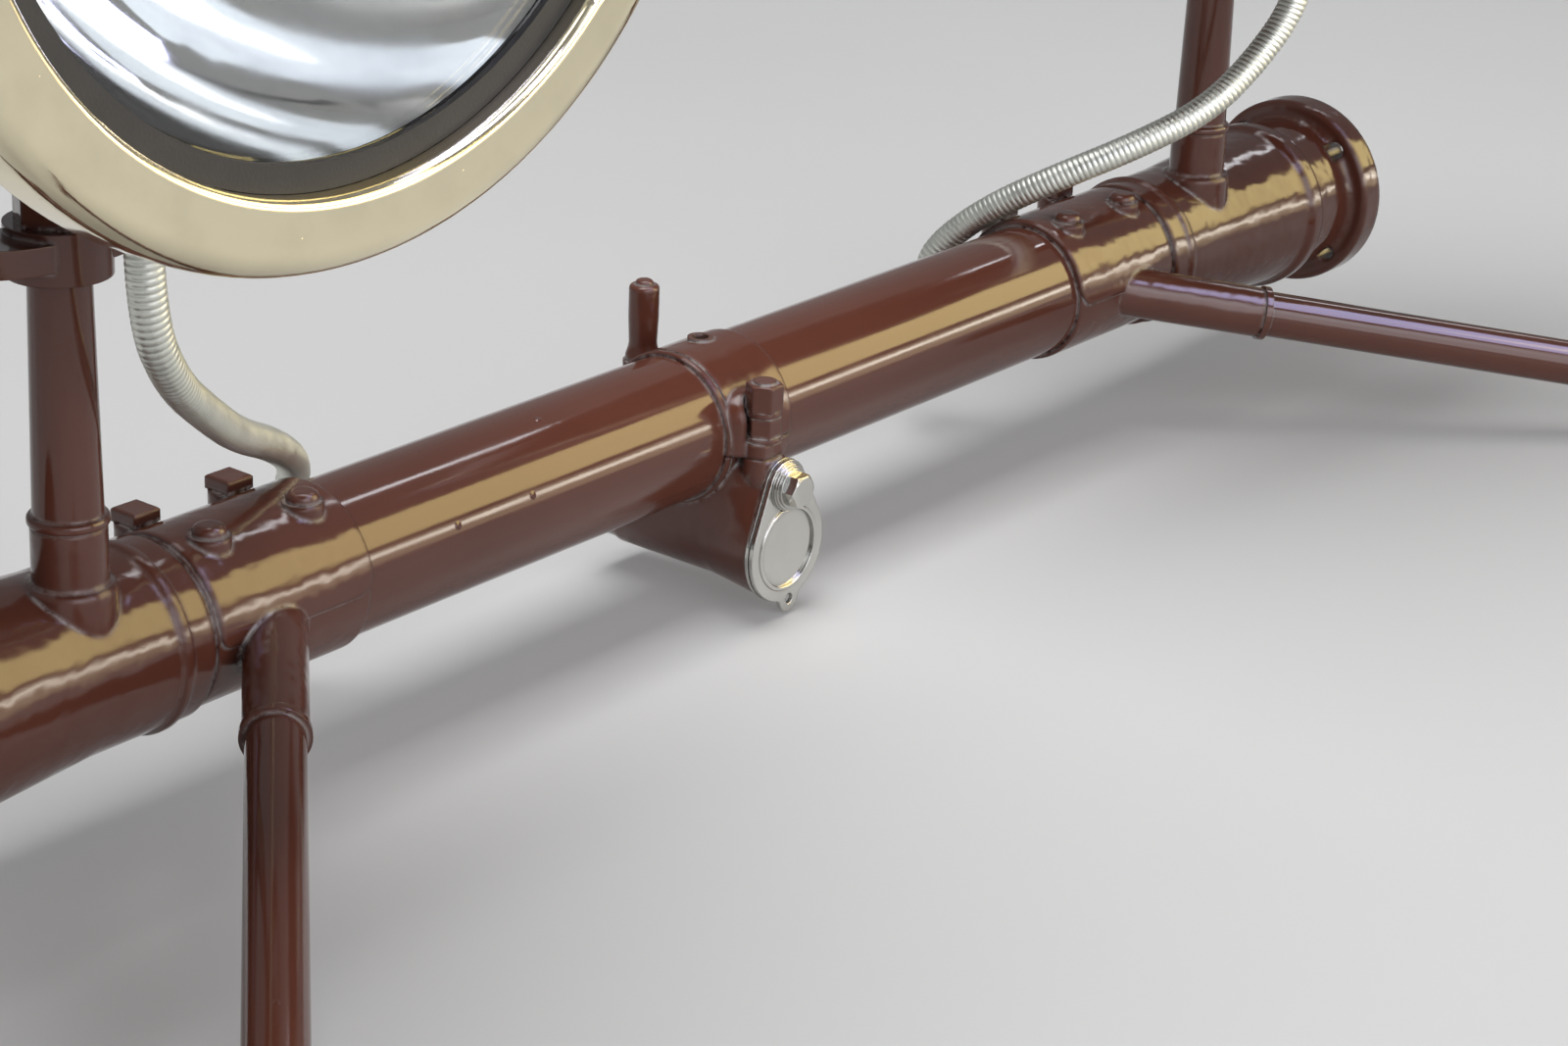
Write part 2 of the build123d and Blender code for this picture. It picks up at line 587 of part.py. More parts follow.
def lamp_post():
    ring_top = POST_SOCKET_TOP + POST_RING_HEIGHT
    spigot_top = POST_TOP + FORK_HUB_HEIGHT + FORK_NUT_HEIGHT + 1
    return Pos(POST_X, POST_Y, 0) * turned_z((
        (0, POST_BOTTOM, 0),
        (POST_FOOT_R, POST_BOTTOM, 0.5),
        (POST_FOOT_R, POST_SOCKET_TOP, 0),
        (POST_RING_R, POST_SOCKET_TOP, 0.9),
        (POST_RING_R, ring_top, 1.4),
        (POST_R, ring_top, 0.5),
        (POST_TOP_R, POST_TOP, 0),
        (POST_SPIGOT_R, POST_TOP, 0),
        (POST_SPIGOT_R, spigot_top, 0.8),
        (0, spigot_top, 0),
    ))


def brace():
    start = BRACE_SOCKET_LENGTH - BRACE_SOCKET_DEPTH
    length = brace_length()
    direction = Vector(*BRACE_DIRECTION).normalized()
    tube = along_brace(BRACE_SPIGOT_R, start, BRACE_SOCKET_LENGTH)
    tube += along_brace(BRACE_R, BRACE_SOCKET_LENGTH, length + 2 * BRACE_R)
    tube += along_brace(BRACE_RING_R, BRACE_SOCKET_LENGTH, BRACE_SOCKET_LENGTH + BRACE_RING_WIDTH)
    tube &= span_box((0, HALF_SPAN), (-FAR, FAR), (-FAR, FAR))
    end = Vector(*BRACE_FROM) + direction * length
    y_span = (end.Y - FOOT_LENGTH / 2, end.Y + FOOT_LENGTH / 2)
    z_span = (end.Z - FOOT_HEIGHT / 2, end.Z + FOOT_HEIGHT / 2)
    foot = span_box((HALF_SPAN - FOOT_THICKNESS, HALF_SPAN), y_span, z_span)
    tube += fillet(foot.edges().filter_by(Axis.X), FOOT_HEIGHT / 4)
    bore_r = BRACE_SPIGOT_R - BRACE_WALL
    tube -= along_brace(bore_r, start, length - 2 * FOOT_THICKNESS / direction.X)
    for side in (-1, 1):
        y = end.Y + side * FOOT_BOLT_SPACING / 2
        tube -= x_cylinder(FOOT_BOLT_R, HALF_SPAN - 4 * FOOT_THICKNESS, HALF_SPAN, y, end.Z)
    return tube


def lamp_fork():
    ring = Circle(FORK_R + FORK_THICKNESS) - Circle(FORK_R)
    ring &= Pos(0, -FORK_R) * Rectangle(3 * FORK_R, 2 * FORK_R)
    fork = front_sketch(Pos(0, LAMP_Z) * ring, POST_Y - FORK_WIDTH / 2, FORK_WIDTH)
    for side in (-1, 1):
        ends = sorted((side * FORK_R, side * (FORK_R + FORK_THICKNESS)))
        fork += x_cylinder(FORK_EYE_R, *ends, POST_Y, LAMP_Z)
    hub_top = POST_TOP + FORK_HUB_HEIGHT
    fork += z_cylinder(FORK_HUB_R, POST_TOP, hub_top, 0, POST_Y)
    fork -= z_cylinder(POST_SPIGOT_R + SEAT_GAP, POST_TOP, hub_top, 0, POST_Y)
    for side in (-1, 1):
        ends = sorted((side * (FORK_R - FORK_THICKNESS), side * (FORK_R + 2 * FORK_THICKNESS)))
        fork -= x_cylinder(TRUNNION_R + SEAT_GAP, *ends, POST_Y, LAMP_Z)
    return fork


def fork_nut():
    nut = Pos(0, POST_Y, POST_TOP + FORK_HUB_HEIGHT) * bevelled_hex(FORK_NUT_FLATS, FORK_NUT_HEIGHT)
    return nut - z_cylinder(POST_SPIGOT_R + SEAT_GAP, POST_TOP, LAMP_Z, 0, POST_Y)


def bowl_solid(radius, front):
    """A solid drum from front, with a hemispherical back, about the Y axis."""
    ball = Pos(0, LAMP_BOWL_Y, 0) * Sphere(radius)
    ball -= span_box((-FAR, FAR), (-FAR, LAMP_BOWL_Y), (-FAR, FAR))
    return y_cylinder(radius, front, LAMP_BOWL_Y) + ball


def trunnion_x():
    return FORK_R - TRUNNION_GAP


def lamp_shell():
    inside = bowl_solid(LAMP_DRUM_R - LAMP_WALL, LAMP_FRONT_Y)
    shell = bowl_solid(LAMP_DRUM_R, LAMP_FRONT_Y) - inside
    for side in (-1, 1):
        ends = sorted((side * (LAMP_DRUM_R - TRUNNION_BOSS_ROOT), side * trunnion_x()))
        shell += x_cylinder(TRUNNION_BOSS_R, *ends, POST_Y) - inside
        ends = sorted((side * (trunnion_x() - TRUNNION_DEPTH), side * trunnion_x()))
        shell -= x_cylinder(TRUNNION_R + SEAT_GAP, *ends, POST_Y)
    return Pos(0, 0, LAMP_Z) * shell


def trunnion_bolts():
    bolts = []
    for side in (-1, 1):
        inner = trunnion_x() - TRUNNION_DEPTH + 1
        head = FORK_R + FORK_THICKNESS
        bolt = x_cylinder(TRUNNION_R, *sorted((side * inner, side * (head + 1))), POST_Y, LAMP_Z)
        head_plane = Plane((side * head, POST_Y, LAMP_Z), x_dir=(0, 1, 0), z_dir=(side, 0, 0))
        bolts.append(bolt + head_plane * bevelled_hex(TRUNNION_HEAD_FLATS, TRUNNION_HEAD_HEIGHT))
    return Compound(children=bolts)


def turned(*points):
    """Revolves a closed outline of (radius, y) points about the lamp's axis."""
    return Pos(0, 0, LAMP_Z) * revolve(make_face(Polyline(*points, close=True)), Axis.Y)


def lamp_rim():
    """The bright rim: a rolled front edge, a lip inside it and a skirt over the drum."""
    skirt = LAMP_DRUM_R + SEAT_GAP
    seat = LAMP_FRONT_Y - SEAT_GAP
    corners = (
        (RIM_INNER_R, RIM_FRONT_Y, RIM_LIP),
        (RIM_R, RIM_FRONT_Y, RIM_ROUND_R),
        (RIM_R, RIM_REAR_Y, 1),
        (skirt, RIM_REAR_Y, 0),
        (skirt, seat, 0),
        (RIM_INNER_R, seat, 0),
    )
    points = [(radius, y) for radius, y, rounding in corners]
    roundings = [rounding for radius, y, rounding in corners]
    outline = FilletPolyline(*points, radius=roundings, close=True)
    return Pos(0, 0, LAMP_Z) * revolve(make_face(outline), Axis.Y)


def lamp_gasket():
    rear = LAMP_FRONT_Y - SEAT_GAP
    return turned(
        (GASKET_INNER_R, rear - GASKET_THICKNESS), (RIM_INNER_R - SEAT_GAP, rear - GASKET_THICKNESS),
        (RIM_INNER_R - SEAT_GAP, rear), (GASKET_INNER_R, rear))


def cap_radius(half_width, height):
    return (half_width ** 2 + height ** 2) / (2 * height)


def arc_to(curve_r, centre_y, r_start, r_end, side=1):
    """An arc about a centre on the lamp's axis, bulging to the rear, or forward with side -1."""
    points = []
    for share in (0.0, 0.5, 1.0):
        r = r_start + share * (r_end - r_start)
        points.append((r, centre_y + side * sqrt(curve_r ** 2 - r ** 2)))
    return ThreePointArc(*points)


def lens_face(front_arc, rear_arc):
    """The closed outline between two arcs given from the axis outward."""
    inner = Line(front_arc @ 0, rear_arc @ 0)
    outer = Line(front_arc @ 1, rear_arc @ 1)
    return make_face(front_arc + inner + rear_arc + outer)


def lamp_glass():
    rear = LAMP_FRONT_Y - SEAT_GAP
    edge_r = GASKET_INNER_R - SEAT_GAP
    curve_r = cap_radius(edge_r, GLASS_CROWN)
    centre_y = rear - GLASS_THICKNESS - GLASS_CROWN + curve_r
    front_arc = arc_to(curve_r, centre_y, 0, edge_r, side=-1)
    rear_arc = arc_to(curve_r, centre_y + GLASS_THICKNESS, 0, edge_r, side=-1)
    return Pos(0, 0, LAMP_Z) * revolve(lens_face(front_arc, rear_arc), Axis.Y)


def lamp_reflector():
    mouth_r = GASKET_INNER_R
    front = LAMP_FRONT_Y + REFLECTOR_SETBACK
    curve_r = cap_radius(mouth_r, REFLECTOR_DEPTH)
    centre_y = front + REFLECTOR_DEPTH - curve_r
    neck_r = BULB_NECK_R + SEAT_GAP
    mirror_arc = arc_to(curve_r, centre_y, neck_r, mouth_r)
    back_arc = arc_to(curve_r, centre_y + REFLECTOR_WALL, neck_r, mouth_r)
    shell = revolve(lens_face(mirror_arc, back_arc), Axis.Y)
    lip = y_cylinder(LAMP_DRUM_R - LAMP_WALL - SEAT_GAP, front, front + REFLECTOR_WALL)
    shell += lip - y_cylinder(mouth_r, front, front + REFLECTOR_WALL)
    return Pos(0, 0, LAMP_Z) * shell


def lamp_bulb():
    vertex = LAMP_FRONT_Y + REFLECTOR_SETBACK + REFLECTOR_DEPTH
    bulb = y_cylinder(BULB_NECK_R, vertex - BULB_SETBACK, vertex + BULB_TAIL)
    bulb += Pos(0, vertex - BULB_SETBACK, 0) * Sphere(BULB_R)
    return Pos(0, 0, LAMP_Z) * bulb


def conduit_path(points):
    """Straight runs joined by arcs as large as their two runs allow, with the arcs' radii."""
    corners = [Vector(*point) for point in points]
    radii = []
    for before, corner, after in zip(corners, corners[1:], corners[2:]):
        turn = radians((corner - before).get_angle(after - corner))
        shorter = min((corner - before).length, (after - corner).length)
        radii.append(0.45 * shorter / tan(turn / 2))
    return FilletPolyline(*corners, radius=radii), radii


def conduit(name, points):
    path, radii = conduit_path(points)
    start = Plane(path @ 0, z_dir=path % 0)
    tube = sweep(start * Circle(CONDUIT_R), path=path)
    section = pi * CONDUIT_R ** 2
    print(name, "radii", [round(radius, 1) for radius in radii],
          "length", round(path.length, 1), "volume ratio", round(tube.volume / (section * path.length), 4))
    return tube


def outlet():
    """The gland under a lamp, from the drum's underside down to the conduit."""
    bottom = OUTLET_BOTTOM_Z
    gland = z_cylinder(OUTLET_R, bottom, bottom + 2 * OUTLET_ROOT, OUTLET_OFFSET, OUTLET_Y)
    gland -= Pos(0, 0, LAMP_Z) * bowl_solid(LAMP_DRUM_R + SEAT_GAP, LAMP_FRONT_Y)
    return gland - z_cylinder(CONDUIT_R + SEAT_GAP, bottom, bottom + SOCKET_DEPTH, OUTLET_OFFSET, OUTLET_Y)


def elbow(x):
    body = z_cylinder(ELBOW_R, ELBOW_BOTTOM, ELBOW_TOP, x, ELBOW_Y)
    body += y_cylinder(ELBOW_STUB_R, TUBE_R - TUBE_WALL, ELBOW_Y, x, ELBOW_Z)
    return body - z_cylinder(CONDUIT_R + SEAT_GAP, ELBOW_TOP - SOCKET_DEPTH, ELBOW_TOP, x, ELBOW_Y)


# Conduit routes: x, y, z of each corner, from the lamp's outlet to the elbow on the tube
ELBOW_LEFT_X = -(SLEEVE_START - 30.6)
ELBOW_RIGHT_X = SLEEVE_START - 8.6
ROUTE_LEFT = (
    (OUTLET_OFFSET - LAMP_X, OUTLET_Y, OUTLET_BOTTOM_Z + SOCKET_DEPTH),
    (OUTLET_OFFSET - LAMP_X, OUTLET_Y, 122.0),
    (-294.0, -52.0, 98.5),
    (-265.0, -34.0, 77.6),
    (-231.5, -10.0, 56.0),
    (-194.0, 14.0, 37.0),
    (-167.0, 31.5, 19.0),
    (ELBOW_LEFT_X, ELBOW_Y, 3.0),
    (ELBOW_LEFT_X, ELBOW_Y, ELBOW_TOP - SOCKET_DEPTH),
)
ROUTE_RIGHT = (
    (OUTLET_OFFSET + LAMP_X, OUTLET_Y, OUTLET_BOTTOM_Z + SOCKET_DEPTH),
    (OUTLET_OFFSET + LAMP_X, OUTLET_Y, 128.0),
    (279.6, -57.6, 108.0),
    (264.3, -51.7, 88.3),
    (244.3, -44.2, 71.4),
    (220.8, -28.3, 58.6),
    (201.8, -5.5, 44.9),
    (191.4, 18.0, 29.8),
    (185.2, 35.4, 13.3),
    (ELBOW_RIGHT_X, ELBOW_Y, 2.0),
    (ELBOW_RIGHT_X, ELBOW_Y, ELBOW_TOP - SOCKET_DEPTH),
)


def build_parts():
    parts = {
        "cross_tube": cross_tube(),
        "bearing_cap": bearing_cap(),
        "bearing_bracket": bearing_bracket(),
        "cap_nut_front": clamp_nut(),
        "cap_stud_rear": rear_stud(),
        "handle_bush": handle_bush(),
        "cover_back_plate": back_plate(),
        "handle_cover": handle_cover(),
        "cover_pivot_bolt": pivot_bolt(),
    }
    mirrored = {
        "end_fitting": end_fitting(),
        "sleeve_bolts": sleeve_bolts(),
        "lamp_post": lamp_post(),
        "brace": brace(),
    }
    for name, part in mirrored.items():
        parts[name + "_right"] = part
        parts[name + "_left"] = mirror(part, about=Plane.YZ)
    lamp_pieces = {
        "lamp_shell": lamp_shell(),
        "lamp_rim": lamp_rim(),
        "lamp_gasket": lamp_gasket(),
        "lamp_glass": lamp_glass(),
        "lamp_reflector": lamp_reflector(),
        "lamp_bulb": lamp_bulb(),
        "lamp_fork": lamp_fork(),
        "fork_nut": fork_nut(),
        "trunnion_bolts": trunnion_bolts(),
        "lamp_outlet": outlet(),
    }
    for name, part in lamp_pieces.items():
        parts[name + "_right"] = Pos(LAMP_X, 0, 0) * part
        parts[name + "_left"] = Pos(-LAMP_X, 0, 0) * part
    parts["conduit_elbow_left"] = elbow(ELBOW_LEFT_X)
    parts["conduit_elbow_right"] = elbow(ELBOW_RIGHT_X)
    parts["conduit_left"] = conduit("conduit_left", ROUTE_LEFT)
    parts["conduit_right"] = conduit("conduit_right", ROUTE_RIGHT)
    return parts


os.makedirs("parts", exist_ok=True)
for node, part in build_parts().items():
    export_step(Pos(HALF_SPAN, 0, 0) * part, f"parts/{node}.step")
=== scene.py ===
import json
from math import cos, pi, radians, sin

import bpy
from mathutils import Matrix, Vector


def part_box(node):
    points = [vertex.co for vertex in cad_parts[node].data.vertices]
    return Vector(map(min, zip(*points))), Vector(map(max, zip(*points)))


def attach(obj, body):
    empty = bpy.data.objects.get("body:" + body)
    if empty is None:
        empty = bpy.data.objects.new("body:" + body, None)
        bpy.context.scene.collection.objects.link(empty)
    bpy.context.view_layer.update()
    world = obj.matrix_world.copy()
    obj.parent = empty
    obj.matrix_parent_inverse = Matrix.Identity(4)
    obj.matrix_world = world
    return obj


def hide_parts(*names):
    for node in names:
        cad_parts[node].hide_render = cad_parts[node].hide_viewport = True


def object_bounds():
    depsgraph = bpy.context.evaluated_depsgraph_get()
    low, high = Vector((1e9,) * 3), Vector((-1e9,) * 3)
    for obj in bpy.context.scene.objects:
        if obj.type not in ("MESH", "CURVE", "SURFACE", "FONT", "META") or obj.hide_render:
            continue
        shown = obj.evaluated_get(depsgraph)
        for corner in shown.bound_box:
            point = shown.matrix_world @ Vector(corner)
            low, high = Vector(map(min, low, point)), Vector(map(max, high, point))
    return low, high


# Looks of the front cross tube unit: materials, ribbed conduits, lamp bulbs, camera and light.
# Metres, in the model's frame. A texture's scale is in features per metre.
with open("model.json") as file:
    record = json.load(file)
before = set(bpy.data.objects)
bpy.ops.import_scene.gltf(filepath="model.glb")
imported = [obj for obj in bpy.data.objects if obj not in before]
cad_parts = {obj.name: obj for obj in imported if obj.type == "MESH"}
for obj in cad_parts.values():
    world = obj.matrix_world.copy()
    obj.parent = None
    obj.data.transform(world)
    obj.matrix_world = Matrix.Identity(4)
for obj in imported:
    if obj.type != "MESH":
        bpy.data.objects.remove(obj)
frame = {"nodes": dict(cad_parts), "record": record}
cad_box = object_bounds()

# Camera, at the photograph's viewing angle
CAMERA_AT = Vector((-0.51584, -0.73965, 0.42963))
CAMERA_AHEAD = Vector((0.73648, 0.56592, -0.37058))
CAMERA_RIGHT = Vector((0.62134, -0.78253, 0.0398))
CAMERA_LENS_MM = 82.594
CAMERA_FILM_MM = 36.0

# Colours, linear
BROWN = (0.112, 0.036, 0.022)
BROWN_PAINTED_SHADE = (0.058, 0.021, 0.015)
BROWN_PALE = (0.129, 0.044, 0.028)
CORNER_PALE = (0.46, 0.42, 0.40)
NICKEL = (0.64, 0.63, 0.59)
LAMP_PLATE = (0.82, 0.74, 0.53)
STEEL = (0.60, 0.62, 0.56)
STEEL_PALE = (0.74, 0.75, 0.69)
SILVER = (0.90, 0.90, 0.88)
SILVER_DULL = (0.74, 0.74, 0.76)
BRASS = (0.62, 0.44, 0.20)
BRONZE = (0.48, 0.31, 0.15)
BRONZE_DARK = (0.30, 0.20, 0.11)
TUNGSTEN = (0.22, 0.21, 0.20)
TUNGSTEN_PALE = (0.36, 0.34, 0.32)
RUBBER = (0.012, 0.012, 0.013)
RUBBER_WORN = (0.035, 0.034, 0.033)
GLASS = (0.98, 0.99, 0.99)
GLASS_DUSTY = (0.90, 0.91, 0.90)
FLOOR = (0.50, 0.50, 0.49)
FLOOR_PALE = (0.54, 0.54, 0.53)
WHITE = (1.0, 1.0, 1.0, 1.0)
SKY = (0.97, 0.98, 1.0, 1.0)

# What tarnish, painted shade in a plate's corners, and painted shade in a conduit's ribs leave of a metal's
# colour; the last also gives the brass cap's darker tone
TARNISHED = 0.72
PLATE_SHADE = 0.30
RIB_SHADE_AND_DARK_TONE = 0.6

# Enamel: how far shade painted into its corners reaches, how far pale patches lie into its narrowest corners,
# and the heights of its bumps
PAINTED_SHADE_REACH = 0.005
CORNER_PALE_REACH = 0.0016
PEEL_HEIGHT = 0.000012
BRUSH_HEIGHT = 0.000014
SPECK_HEIGHT = 0.00016
NIB_HEIGHT = 0.0004

# Small nibs in the tube's paint, and their size
NIBS = ((0.2487, -0.0240, 0.0083), (0.2835, -0.0239, 0.0086), (0.3046, -0.0068, 0.0245))
NIB_R = 0.0015

# Plate: how far painted shade reaches from its corners, the depth of its pits, and how much rougher its
# smears are
PLATE_SHADE_REACH = 0.0025
PIT_DEPTH = 0.00008
SMEAR = 0.08

# Heights of the grain or waves of the other finishes, and how far a rib's shade reaches
RUBBER_GRAIN = 0.00008
GLASS_WAVE = 0.0001
MIRROR_WAVE = 0.0002
CONDUIT_GRAIN = 0.00002
BRONZE_GRAIN = 0.00005
WIRE_GRAIN = 0.00002
RIB_SHADE_REACH = 0.0012

# Conduits: their size, their ribs and the routes' points
CONDUIT_R = 0.0054
CONDUIT_SIDES = 36
RIB_PITCH = 0.0021
RIB_DEPTH = 0.00020
SAMPLES_PER_RIB = 8
LINE_PIECES = 24
ROUTES = {
    "left": (
        (0.0917, -0.058, 0.150), (0.0917, -0.058, 0.122), (0.106, -0.052, 0.0985),
        (0.135, -0.034, 0.0776), (0.1685, -0.010, 0.056), (0.206, 0.014, 0.037),
        (0.233, 0.0315, 0.019), (0.238, 0.0405, 0.003), (0.238, 0.0405, -0.012)),
    "right": (
        (0.6843, -0.058, 0.150), (0.6843, -0.058, 0.128), (0.6796, -0.0576, 0.108),
        (0.6643, -0.0517, 0.0883), (0.6443, -0.0442, 0.0714), (0.6208, -0.0283, 0.0586),
        (0.6018, -0.0055, 0.0449), (0.5914, 0.018, 0.0298), (0.5852, 0.0354, 0.0133),
        (0.584, 0.0405, 0.002), (0.584, 0.0405, -0.012)),
}

# Bulbs: a clear envelope on a brass cap, with a coiled filament on two wires
BULB_SEGMENTS = 48
BULB_WALL = 0.0006
BALL_STEPS = 40
BALL_STEPS_TO_NECK = 32
SHOULDER_LENGTH = 0.007
SHOULDER_SHARES = (0.25, 0.5, 0.75, 1.0)
NECK_SHARE = 0.47
CAP_LENGTH = 0.020
CAP_LIP = 0.001
CAP_HOLE_R = 0.002
CAP_CORNER_R = 0.002
CAP_CORNER_START = 0.003
CAP_CONTACT_R = 0.003
CAP_CONTACT_HEIGHT = 0.001
STEM_R = 0.0022
STEM_TIP_R = 0.0005
STEM_TIP = 0.007
STEM_START = 0.008
STEM_FLARE_LENGTH = 0.006
WIRE_R = 0.0004
WIRE_SIDES = 8
WIRE_KNEE = 0.003
FILAMENT_TURNS = 9
FILAMENT_STEPS_PER_TURN = 12
FILAMENT_R = 0.0014
FILAMENT_WIRE_R = 0.00025
FILAMENT_LENGTH = 0.010

# Floor: how far it reaches from the middle, and how far it lies below the unit
FLOOR_REACH = 6.0
FLOOR_DROP = 0.001

# Brightness of the world as light, and of the world and the floor as background
WORLD_LIGHT = 0.15
WORLD_SHOWN = 0.28
FLOOR_GLOW = 0.15

# Softboxes that light the unit: name, place, what it faces, size, watts, colour
SOFTBOXES = (
    ("overhead", (0.35, 0.15, 2.2), (0.4, 0.0, 0.1), (1.8, 1.2), 44.0, (0.98, 0.98, 1.0)),
    ("fill", (-0.02, -1.9, 0.70), (0.6, -0.1, 0.0), (2.0, 1.3), 22.0, (0.96, 0.95, 1.0)),
)

# Cards that show in gloss alone: the same, and the direction that the first size lies along
ALONG_X = (1.0, 0.0, 0.0)
ACROSS_BRACE = (0.76, 0.64, 0.26)
CARDS = (
    ("brace_card", (1.244, -1.764, 2.911), (0.72, -0.115, -0.02), (2.5, 0.8), 62.0,
     (0.60, 0.61, 1.0), ACROSS_BRACE),
    ("sky_card", (-1.5, -2.6, 2.0), (0.1, -0.1, 0.3), (3.0, 1.6), 18.0, (0.78, 0.86, 1.0), ALONG_X),
)

# Strips that show in gloss alone and lie along the tube, off to its near side:
# name, turn in degrees from the front up about the tube, width, from x, to x, watts, colour
STRIP_DISTANCE = 1.4
STRIPS = (
    ("front_band", 38.0, 0.86, 0.9, 3.1, 33.0, (1.0, 0.80, 0.34)),
    ("front_glow", 6.0, 0.45, 0.9, 3.1, 7.0, (1.0, 0.80, 0.50)),
    ("front_line", 9.0, 0.12, 0.9, 3.1, 8.0, (1.0, 0.92, 0.80)),
    ("top_line", 98.0, 0.11, 1.1, 2.7, 4.5, (0.96, 0.96, 1.0)),
)


def scaled(color, share):
    return tuple(share * part for part in color)


class Shader:
    """A material's nodes: one Principled shader, and short calls for what feeds it."""

    # The colour sockets of a Mix node
    MIX_SOCKETS = (6, 7)
    MIX_RESULT = 2

    def __init__(self, name, **values):
        self.material = bpy.data.materials.new(name)
        self.material.use_nodes = True
        self.tree = self.material.node_tree
        self.tree.nodes.clear()
        output = self.add("ShaderNodeOutputMaterial")
        self.principled = self.add("ShaderNodeBsdfPrincipled")
        self.tree.links.new(self.principled.outputs["BSDF"], output.inputs["Surface"])
        self.place = self.add("ShaderNodeTexCoord").outputs["Object"]
        for socket, value in values.items():
            self.principled.inputs[socket.replace("_", " ")].default_value = value

    def add(self, kind, **settings):
        node = self.tree.nodes.new(kind)
        for name, value in settings.items():
            setattr(node, name, value)
        return node

    def feed(self, node, socket, value):
        if isinstance(value, bpy.types.NodeSocket):
            self.tree.links.new(value, node.inputs[socket])
        else:
            node.inputs[socket].default_value = value

    def set(self, socket, value):
        self.feed(self.principled, socket, value)

    def stretch(self, scale):
        node = self.add("ShaderNodeMapping")
        self.feed(node, "Vector", self.place)
        node.inputs["Scale"].default_value = scale
        return node.outputs["Vector"]

    def noise(self, scale, detail, roughness=0.5, place=None):
        node = self.add("ShaderNodeTexNoise")
        self.feed(node, "Vector", place or self.place)
        node.inputs["Scale"].default_value = scale
        node.inputs["Detail"].default_value = detail
        node.inputs["Roughness"].default_value = roughness
        return node.outputs["Fac"]

    def specks(self, scale, size, share):
        """Round spots on a share of the cells of a grid of cells."""
        cells = self.add("ShaderNodeTexVoronoi")
        self.feed(cells, "Vector", self.place)
        cells.inputs["Scale"].default_value = scale
        spot = self.spread(cells.outputs["Distance"], size, 0.0, 0.0, 1.0)
        split = self.add("ShaderNodeSeparateColor")
        self.feed(split, "Color", cells.outputs["Color"])
        chosen = self.math("LESS_THAN", split.outputs["Red"], share)
        return self.math("MULTIPLY", spot, chosen)

    def spots(self, places, radius):
        """Small round spots at given places."""
        total = None
        for place in places:
            away = self.add("ShaderNodeVectorMath", operation="DISTANCE")
            self.feed(away, 0, self.place)
            away.inputs[1].default_value = place
            spot = self.spread(away.outputs["Value"], radius, 0.0, 0.0, 1.0)
            total = spot if total is None else self.math("ADD", total, spot)
        return total

    def shut_in(self, reach):
        """1 in the open, down to 0 in narrow corners."""
        node = self.add("ShaderNodeAmbientOcclusion", samples=5)
        node.inputs["Distance"].default_value = reach
        return node.outputs["AO"]

    def math(self, operation, first, second):
        node = self.add("ShaderNodeMath", operation=operation)
        self.feed(node, 0, first)
        self.feed(node, 1, second)
        return node.outputs["Value"]

    def spread(self, value, from_low, from_high, to_low, to_high):
        node = self.add("ShaderNodeMapRange")
        self.feed(node, "Value", value)
        self.feed(node, "From Min", from_low)
        self.feed(node, "From Max", from_high)
        self.feed(node, "To Min", to_low)
        self.feed(node, "To Max", to_high)
        return node.outputs["Result"]

    def mix(self, share, first, second):
        node = self.add("ShaderNodeMix", data_type="RGBA")
        self.feed(node, "Factor", share)
        for socket, color in zip(self.MIX_SOCKETS, (first, second)):
            self.feed(node, socket, (*color, 1.0) if isinstance(color, tuple) else color)
        return node.outputs[self.MIX_RESULT]

    def rounded(self, radius):
        """The surface's normal with its sharp edges shown rounded."""
        node = self.add("ShaderNodeBevel", samples=4)
        node.inputs["Radius"].default_value = radius
        return node.outputs["Normal"]

    def bump(self, shape, height, normal=None):
        """The normal with a shape raised by a height on it, or sunk where the height is negative."""
        node = self.add("ShaderNodeBump")
        self.feed(node, "Height", shape)
        node.inputs["Distance"].default_value = height
        node.inputs["Strength"].default_value = 1.0
        if normal is not None:
            self.feed(node, "Normal", normal)
        return node.outputs["Normal"]


def enamel(name, lump_height, lump_size, edge_r, corner_pale_share):
    """Gloss brown enamel, brushed on thick, with rounded edges, nibs, shade painted into its corners, and
    pale patches in its narrowest corners.
    """
    shader = Shader(name)
    cloud = shader.spread(shader.noise(9.0, 4.0), 0.35, 0.65, 0.0, 1.0)
    color = shader.mix(cloud, BROWN, BROWN_PALE)
    # Painted shade: the colour is darkened in corners, where the surface is shut in.
    corners = shader.spread(shader.shut_in(PAINTED_SHADE_REACH), 0.35, 0.9, 0.0, 1.0)
    color = shader.mix(corners, BROWN_PAINTED_SHADE, color)
    # Pale colour laid in patches into the narrowest corners, over the enamel's colour.
    in_corner = shader.spread(shader.shut_in(CORNER_PALE_REACH), 0.86, 0.68, 0.0, corner_pale_share)
    patches = shader.spread(shader.noise(220.0, 4.0, 0.6), 0.38, 0.54, 0.0, 1.0)
    shader.set("Base Color", shader.mix(shader.math("MULTIPLY", in_corner, patches), color, CORNER_PALE))
    shader.set("Roughness", shader.spread(shader.noise(30.0, 4.0), 0.3, 0.7, 0.075, 0.14))
    normal = shader.bump(shader.noise(1.0 / lump_size, 2.0), lump_height, shader.rounded(edge_r))
    normal = shader.bump(shader.noise(380.0, 1.0), PEEL_HEIGHT, normal)
    brushed = shader.noise(420.0, 2.0, place=shader.stretch((0.02, 1.0, 1.0)))
    normal = shader.bump(brushed, BRUSH_HEIGHT, normal)
    normal = shader.bump(shader.specks(75.0, 0.10, 0.05), SPECK_HEIGHT, normal)
    normal = shader.bump(shader.spots(NIBS, NIB_R), NIB_HEIGHT, normal)
    shader.set("Normal", normal)
    return shader.material


